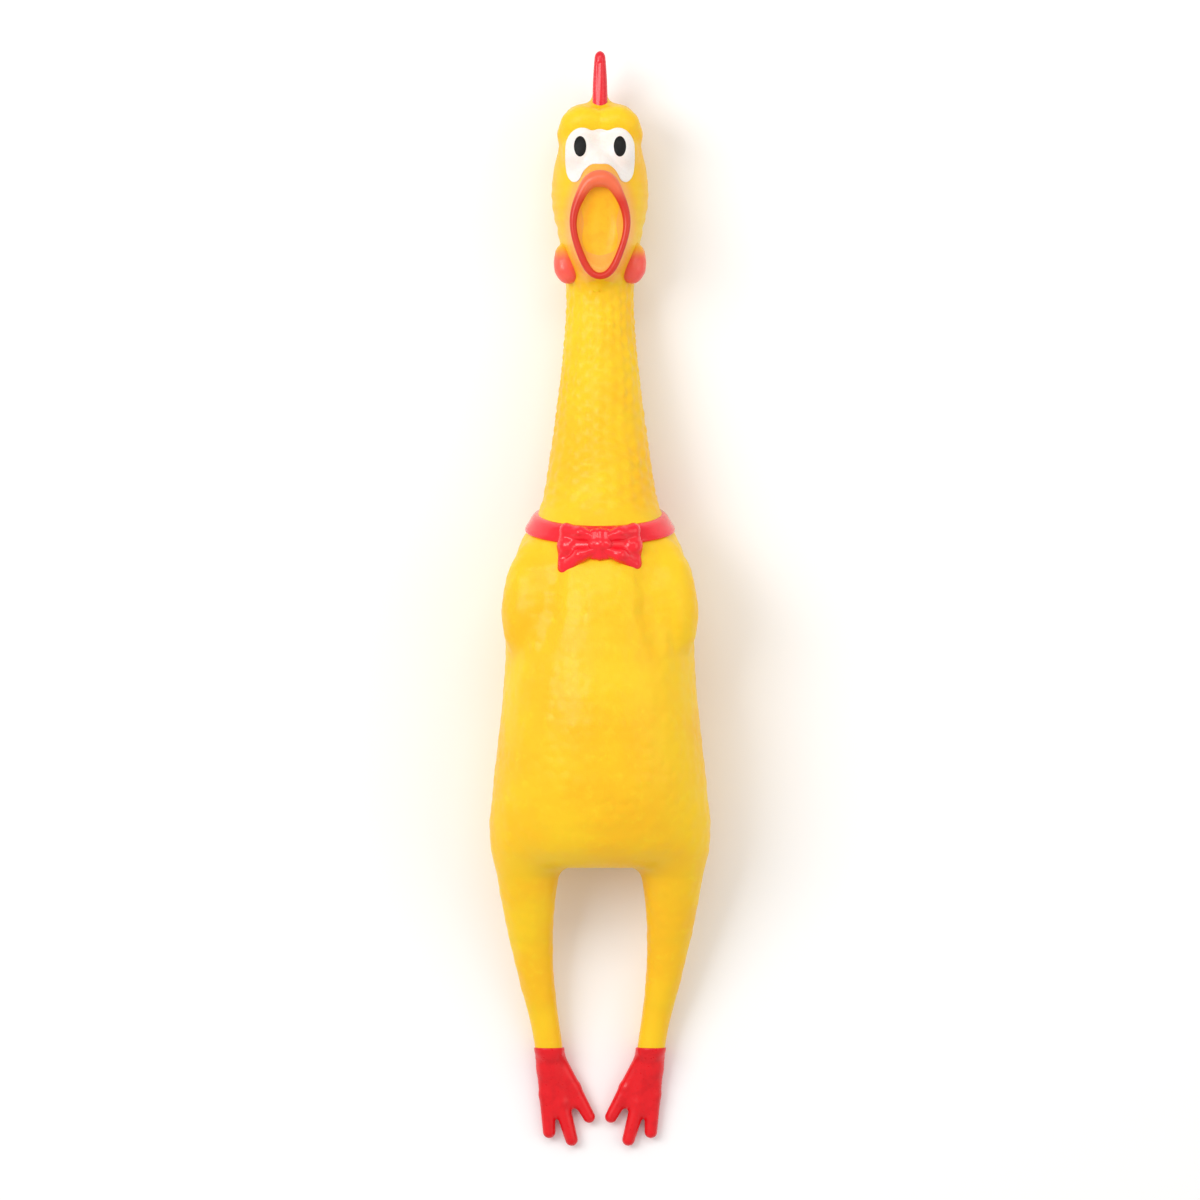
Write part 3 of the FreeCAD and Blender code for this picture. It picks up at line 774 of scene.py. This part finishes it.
def mouth_dish():
    """The shallow orange bowl inside the lips, with a low tongue along its middle."""
    rings, sectors = 28, 96
    points = [(MOUTH[0], MOUTH[1], LIP_Z - DISH_DEPTH + TONGUE_HEIGHT)]
    for i in range(1, rings + 1):
        r = i / rings
        for j in range(sectors):
            t = 2 * math.pi * j / sectors
            x, y = mouth_outline(t, r)
            fade = 1 - ramp(abs(y - MOUTH[1]), 7, 14)
            tongue = TONGUE_HEIGHT * math.exp(-((x / TONGUE_WIDTH) ** 2)) * fade
            points.append((x, y, LIP_Z - DISH_DEPTH * (1 - r**2.6) + float(tongue)))
    faces = [(0, 1 + (j + 1) % sectors, 1 + j) for j in range(sectors)]
    for i in range(rings - 1):
        for j in range(sectors):
            k = (j + 1) % sectors
            a, b = 1 + i * sectors, 1 + (i + 1) * sectors
            faces.append((a + j, a + k, b + k, b + j))
    return mesh_object("mouth_dish", points, faces)


finish_piece(mouth_dish(), mouth_orange, "head", ("mouth_lining",))


WATTLE = (
    (12.8, 128.8, 25.4, 1.6),
    (13.2, 126.2, 26.0, 2.7),
    (12.9, 123.2, 26.4, 3.5),
    (12.3, 120.4, 26.4, 3.9),
    (11.6, 118.6, 26.2, 3.7),
)


def wattle_field(x, y, z):
    return bars(np.abs(x), y, z, WATTLE, 1.6)


# The comb's front spike: Y: radius
SPIKE = ((170.0, 2.8), (178.0, 2.8), (186.0, 2.7), (190.0, 2.55), (194.0, 2.3), (198.0, 1.95), (201.0, 1.6))
SPIKE_Y, SPIKE_COLUMNS = table_curves(SPIKE, 1.5)
SPIKE_Z, SPIKE_TIP_Y = 22.2, 199.9
# The two lower spikes behind it: x, y, z, radius
SPIKE_MIDDLE = ((0, 176.0, 16.0, 2.9), (0, 190.0, 14.8, 1.8))
SPIKE_BACK = ((0, 175.5, 11.0, 2.6), (0, 184.4, 9.9, 1.6))
SPIKE_NICK = ((-1.2, 179, 26.0), (-0.5, 195, 24.6), 0.5, 0.3)


def comb_field(x, y, z):
    f = np.sqrt(x * x + (z - SPIKE_Z) ** 2) - np.interp(y, SPIKE_Y, SPIKE_COLUMNS[0])
    f = keep(f, y - SPIKE_TIP_Y, 2.6)
    for spike in (SPIKE_MIDDLE, SPIKE_BACK):
        f = join(f, bars(x, y, z, spike, 1.0), 2.2)
    return carve(f, rod(x, y, z, *SPIKE_NICK), 1.2)


for side in (1, -1):
    name = side_prefix(side) + "wattle_flesh"
    low_x = 8.0 if side > 0 else -20.0
    flesh = field_object(name, wattle_field, (low_x, 115, 17), (low_x + 12, 136, 31), 0.4)
    finish_piece(flesh, wattle_red, "head", (side_prefix(side) + "wattle",))
blade = field_object("comb_blade", comb_field, (-5, 171, 6), (5, 201, 31), 0.4)
finish_piece(blade, comb_red, "comb", ("comb",))


# ---------------------------------------------------------------- collar, bow and feet


COLLAR_THICK, COLLAR_HALF_TALL, COLLAR_SUNK = 1.7, 3.4, 0.8
COLLAR_FIRST_RADIUS = 22.0  # where the search for the skin under the collar starts


def collar():
    """A band round the shoulders, that follows the skin under it and dips in front."""
    around, across = 160, 14
    points = []
    for i in range(around):
        t = 2 * math.pi * i / around
        for j in range(across + 1):
            s = -1 + 2 * j / across
            swell = (1 - abs(s) ** 5) ** 0.5 if abs(s) < 1 else 0.0
            radius = COLLAR_FIRST_RADIUS
            for _ in range(6):
                z = COLLAR_Z + radius * math.cos(t)
                y = COLLAR_Y + s * COLLAR_HALF_TALL - (z - COLLAR_Z) * math.tan(COLLAR_TILT)
                a, b, centre = (float(v) for v in profile(y))
                reach = 1 / math.hypot(math.sin(t) / a, math.cos(t) / b)
                z = centre + reach * math.cos(t)
                radius = reach
            out = reach - COLLAR_SUNK + (COLLAR_THICK + COLLAR_SUNK) * swell
            points.append((out * math.sin(t), y, centre + out * math.cos(t)))
    faces = []
    row = across + 1
    for i in range(around):
        for j in range(across):
            m = (i + 1) % around
            faces.append((i * row + j, m * row + j, m * row + j + 1, i * row + j + 1))
    return mesh_object("collar", points, faces)


finish_piece(collar(), glossy_red, "torso", ("collar_band",))


# One loop of the bow, from the knot outwards: x, y, z, radius. Its outer corner comes from bow_field
LOOP_TOP = ((2.0, 20.6, 57.0, 2.3), (7.6, 22.6, 56.6, 2.4), (12.6, 23.6, 53.4, 2.6))
LOOP_LOW = ((2.0, 16.6, 57.2, 2.3), (7.6, 14.8, 57.2, 2.5))
LOOP_MIDDLE = ((2.0, 18.6, 56.0, 2.5), (12.2, 18.0, 52.6, 4.2))
LOOP_EDGE_TOP = (12.9, 23.6, 52.6, 2.3)
LOOP_DEEP_FOLD = ((3.2, 18.6, 60.2), (9.6, 18.6, 58.0), 1.0, 1.3)
LOOP_THIN_FOLD = ((3.8, 21.2, 60.6), (10.6, 21.2, 58.2), 0.6, 0.5)
LOOP_CORNER = (13.6, 11.6)  # x of the outer edge, y of the lower corner
RIGHT_LOOP_GROWS = (0.4, -1.4)  # what the chicken's right loop adds to them
KNOT_FOLDS = ((-2.2, 1.8), (0.0, 2.2), (2.2, 1.8))  # x, radius


def bow_field(side):
    """One loop of the bow tie. The chicken's right loop is a little larger and hangs lower."""
    big = 1.0 if side < 0 else 0.0
    edge_x, low_y = (at + grows * big for at, grows in zip(LOOP_CORNER, RIGHT_LOOP_GROWS))

    def field(x, y, z):
        u, y = x * side * BOW_SQUEEZE, y - BOW_LIFT
        top = bars(u, y, z, LOOP_TOP, 1.4)
        low = bars(u, y, z, (*LOOP_LOW, (13.0, low_y, 53.4, 2.5)), 1.4)
        middle = bars(u, y, z, LOOP_MIDDLE, 1.0)
        edge = bars(u, y, z, (LOOP_EDGE_TOP, (edge_x, 17.8, 52.4, 1.9), (edge_x, low_y, 52.4, 2.3)), 1.0)
        f = join(join(top, low, 1.6), join(middle, edge, 1.2), 1.4)
        f = carve(f, rod(u, y, z, *LOOP_DEEP_FOLD), 1.4)
        f = carve(f, rod(u, y, z, *LOOP_THIN_FOLD), 1.0)
        return keep(f, -u, 0.2)

    return field


def knot_field(x, y, z):
    """The knot: three upright folds side by side."""
    f, y = None, y - BOW_LIFT
    for x0, r in KNOT_FOLDS:
        g = bars(x, y, z, ((x0, 14.8, 57.0, r), (x0 * 1.1, 18.6, 58.2, r), (x0, 22.4, 57.2, r)), 0.8)
        f = g if f is None else join(f, g, 0.7)
    return f


for side in (1, -1):
    name = side_prefix(side) + "bow_fold"
    low_x = -0.8 if side > 0 else -19.0
    fold = field_object(name, bow_field(side), (low_x, 7, 46), (low_x + 19.8, 32, 62), 0.4)
    hidden = "bow_left_loop" if side > 0 else "bow_right_loop"
    finish_piece(fold, glossy_red, "torso", (hidden,))
knot = field_object("bow_knot_fold", knot_field, (-6, 12, 51), (6, 30, 62), 0.35)
finish_piece(knot, glossy_red, "torso", ("bow_knot",))


ANKLE = ((18.3, -164.5, 6.9, 4.8), (18.0, -172.0, 5.4, 4.3))
# Each toe, from its root at the ankle to its tip: x, y, z, radius
TOES = (
    ((20.3, -168.0, 5.8, 3.0), (19.4, -181.0, 3.9, 2.9), (18.6, -194.7, 3.1, 2.3)),
    ((17.6, -171.0, 5.2, 3.6), (14.2, -184.0, 3.9, 3.0), (10.4, -197.5, 3.1, 2.3)),
    ((15.5, -168.0, 5.8, 3.0), (9.8, -178.6, 3.9, 2.8), (4.0, -189.2, 3.1, 2.2)),
)
WEB_ROOT = (18.0, -171.0, 4.8, 3.8)
WEB_ENDS = ((16.0, -186.4, 3.0, 2.1), (10.4, -183.6, 3.0, 2.1))


def foot_field(x, y, z):
    """A foot of three toes joined by a web. x is the distance from the middle of the toy."""
    f = keep(leg(x, y, z) - 0.35, -168.0 - y, 5.0)
    f = join(f, bars(x, y, z, ANKLE, 1.0), 2.0)
    for toe in TOES:
        f = join(f, bars(x, y, z, toe, 1.0), 1.6)
    for end in WEB_ENDS:
        f = join(f, bars(x, y, z, (WEB_ROOT, end), 1.0), 2.6)
    f = keep(f, y - RED_FROM_Y, 0.5)
    return keep(f, 0.45 - z, 0.8)


for side in (1, -1):
    name = side_prefix(side) + "foot_flesh"
    low_x = 0.3 if side > 0 else -26.3
    flesh = field_object(
        name, lambda x, y, z: foot_field(np.abs(x), y, z), (low_x, -201, -0.5), (low_x + 26, -160, 15), 0.5
    )
    finish_piece(flesh, foot_red, side_prefix(side) + "foot", (side_prefix(side) + "foot",))


# ---------------------------------------------------------------- whistle

# It is shown as its CAD solids, in their own plastic
plastic = paint("whistle plastic", (0.82, 0.82, 0.79), (0.76, 0.75, 0.70), 0.45, 0.0, grain=0.4)
for node in ("whistle_cup", "whistle_reed_plate", "whistle_reed", "whistle_cap"):
    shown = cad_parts[node]
    shown.data.materials.clear()
    shown.data.materials.append(plastic)


# ---------------------------------------------------------------- stage

FLOOR_HALF = 3.0  # metres


def floor():
    corners = [(x * FLOOR_HALF, y * FLOOR_HALF, 0) for x, y in ((-1, -1), (1, -1), (1, 1), (-1, 1))]
    mesh = bpy.data.meshes.new("floor")
    mesh.from_pydata(corners, [], [(0, 1, 2, 3)])
    obj = bpy.data.objects.new("floor", mesh)
    bpy.context.scene.collection.objects.link(obj)
    n = Nodes("pale floor", (0.95, 0.95, 0.95), 0.6)
    n.relief(n.noise(0.5, 2), 0.02, 0.3)
    mesh.materials.append(n.material)
    return obj


def area_light(name, place, target, size, watts, tint=(1, 1, 1)):
    data = bpy.data.lights.new(name, "AREA")
    data.shape = "RECTANGLE"
    data.size, data.size_y = size
    data.energy = watts
    data.color = tint
    obj = bpy.data.objects.new(name, data)
    obj.location = place
    obj.rotation_euler = (Vector(target) - Vector(place)).to_track_quat("-Z", "Y").to_euler()
    bpy.context.scene.collection.objects.link(obj)
    return obj


KEY_WATTS, FILL_WATTS, TOP_WATTS, WORLD_STRENGTH = 11, 3.5, 5.5, 0.60
CAMERA_HEIGHT, CAMERA_LENS = 3.2, 262  # metres, mm

stage = [
    floor(),
    area_light("key", (-0.9, 0.35, 1.3), (0, 0, 0), (0.7, 0.9), KEY_WATTS),
    area_light("fill", (1.1, 0.1, 1.0), (0, 0, 0), (1.0, 1.0), FILL_WATTS, (1.0, 0.93, 0.85)),
    area_light("top", (0.0, 0.9, 1.5), (0, 0, 0), (1.2, 0.5), TOP_WATTS),
]

world = bpy.data.worlds.new("soft white")
world.use_nodes = True
world.node_tree.nodes["Background"].inputs["Color"].default_value = (1, 1, 1, 1)
world.node_tree.nodes["Background"].inputs["Strength"].default_value = WORLD_STRENGTH
bpy.context.scene.world = world
bpy.context.scene.view_settings.view_transform = "Standard"

camera_data = bpy.data.cameras.new("camera")
camera_data.lens = CAMERA_LENS
camera = bpy.data.objects.new("camera", camera_data)
camera.location = (0, 0, CAMERA_HEIGHT)
bpy.context.scene.collection.objects.link(camera)
bpy.context.scene.camera = camera
